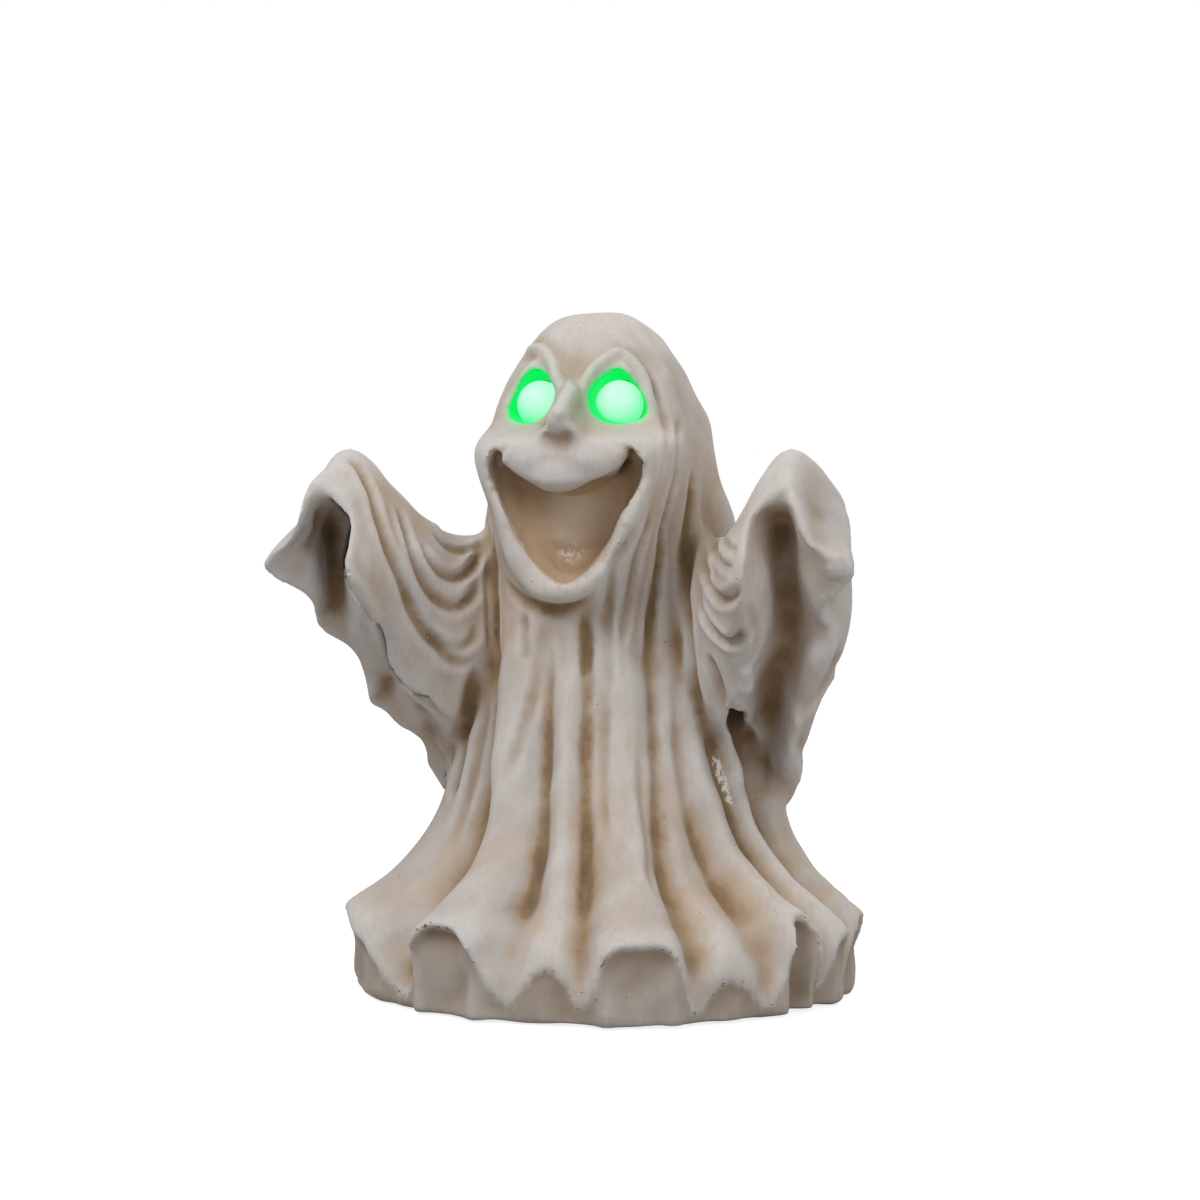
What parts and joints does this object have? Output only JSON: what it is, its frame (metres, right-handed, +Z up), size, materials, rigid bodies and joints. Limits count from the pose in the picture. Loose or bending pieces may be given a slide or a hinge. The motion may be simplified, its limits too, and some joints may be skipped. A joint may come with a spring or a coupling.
{
  "type": "light-up ghost figurine",
  "caption": "Free-standing draped ghost with an open mouth, spread hollow sleeves and two glowing ball eyes, with a battery box and timer switch in its back.",
  "frame": {"origin": "on the ground under the middle of the figure's bounding box", "axes": "+Z up; the ghost faces -Y; +X towards its left arm"},
  "size_m": [0.343, 0.2904, 0.408],
  "materials": {
    "stone_resin": "cast resin with an aged stone finish, brown wash in the folds",
    "frosted_eye": "frosted translucent ball, lit green",
    "green_lamp": "clear green lens",
    "white_plastic": "moulded",
    "black_plastic": "fine-grained moulding",
    "grey_plastic": "moulded",
    "rubber": "matt",
    "lead_jacket": "soft sheath",
    "steel": "zinc plated",
    "nickel": "nickel plated",
    "board": "solder mask",
    "cell_wrap": "plain printed wrap"
  },
  "bodies": {
    "figure": {"ghost_shell": "stone_resin", "eye_diffuser_left": "frosted_eye", "eye_collar_left": "white_plastic", "led_holder_left": "black_plastic", "led_bulb_left": "green_lamp", "lead_sleeve_left": "rubber", "eye_lead_left": "lead_jacket", "lead_clip_left_1": "white_plastic", "lead_clip_left_2": "white_plastic", "lead_grommet_left": "rubber", "eye_diffuser_right": "frosted_eye", "eye_collar_right": "white_plastic", "led_holder_right": "black_plastic", "led_bulb_right": "green_lamp", "lead_sleeve_right": "rubber", "eye_lead_right": "lead_jacket", "lead_clip_right_1": "white_plastic", "lead_clip_right_2": "white_plastic", "lead_grommet_right": "rubber", "battery_box": "black_plastic", "box_gasket": "rubber", "door_gasket": "rubber", "hinge_pin": "steel", "box_screw_1": "steel", "box_screw_2": "steel", "box_screw_3": "steel", "box_screw_4": "steel", "battery_cell_1": "cell_wrap", "battery_cell_2": "cell_wrap", "battery_cell_3": "cell_wrap", "contact_spring_1": "nickel", "contact_spring_2": "nickel", "contact_spring_3": "nickel", "contact_plate_1": "nickel", "contact_plate_2": "nickel", "contact_plate_3": "nickel", "contact_plate_4": "nickel", "timer_board": "board", "timer_chip": "black_plastic", "switch_body": "steel", "base_plate": "black_plastic", "base_screw_1": "steel", "base_screw_2": "steel", "base_screw_3": "steel", "base_screw_4": "steel", "foot_pad_1": "rubber", "foot_pad_2": "rubber", "foot_pad_3": "rubber", "foot_pad_4": "rubber"},
    "door": {"battery_door": "black_plastic"},
    "screw": {"door_screw": "steel"},
    "slider": {"switch_slider": "grey_plastic"}
  },
  "joints": [
    {"name": "door_hinge", "type": "hinge", "parent": "figure", "child": "door", "pos_m": [0.0295, 0.0947, 0.13715], "axis": [0, 0.3256, -0.9455], "range_deg": [0, 105]},
    {"name": "door_screw_turn", "type": "hinge", "parent": "door", "child": "screw", "pos_m": [-0.0295, 0.09226, 0.14424], "axis": [0, 0.9455, 0.3256], "continuous": true},
    {"name": "switch_slide", "type": "slide", "parent": "figure", "child": "slider", "axis": [1, 0, 0], "range_m": [-0.003, 0.003]}
  ]
}
